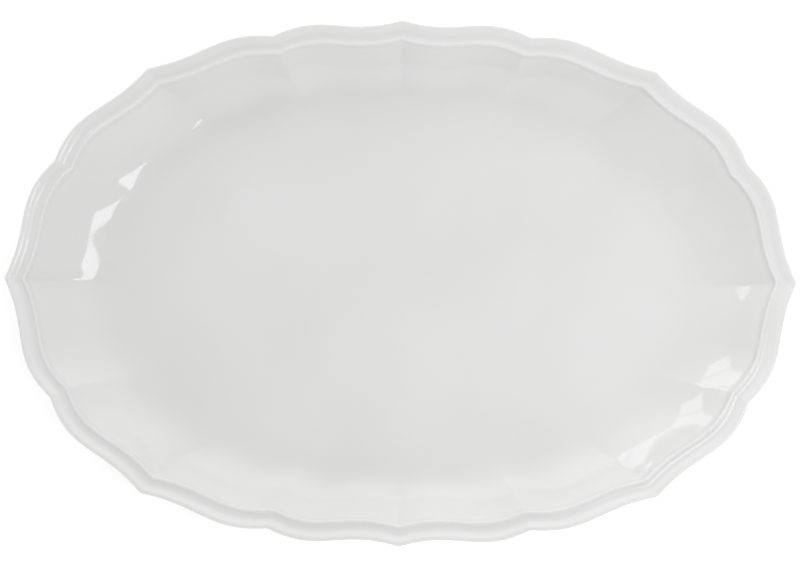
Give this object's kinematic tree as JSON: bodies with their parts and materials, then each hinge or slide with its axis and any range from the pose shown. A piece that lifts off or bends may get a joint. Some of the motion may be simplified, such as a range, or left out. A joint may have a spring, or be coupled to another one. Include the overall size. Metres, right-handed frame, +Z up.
{
  "type": "serving platter",
  "caption": "Oval white porcelain serving platter with scalloped ogee edge, rounded lip, raised bead, creased hollow wall, flat well and oval foot ring.",
  "frame": {"origin": "on the table, under the middle of the platter", "axes": "+X along the platter's length, +Y across it, +Z up out of the well"},
  "size_m": [0.356, 0.237, 0.03],
  "materials": {
    "biscuit": "bare vitrified porcelain, fine matte",
    "white_glaze": "clear gloss glaze over white porcelain"
  },
  "bodies": {
    "root": {"porcelain_body": "biscuit", "foot_ring": "biscuit", "face_glaze": "white_glaze", "back_glaze": "white_glaze", "base_glaze": "white_glaze"}
  },
  "joints": []
}
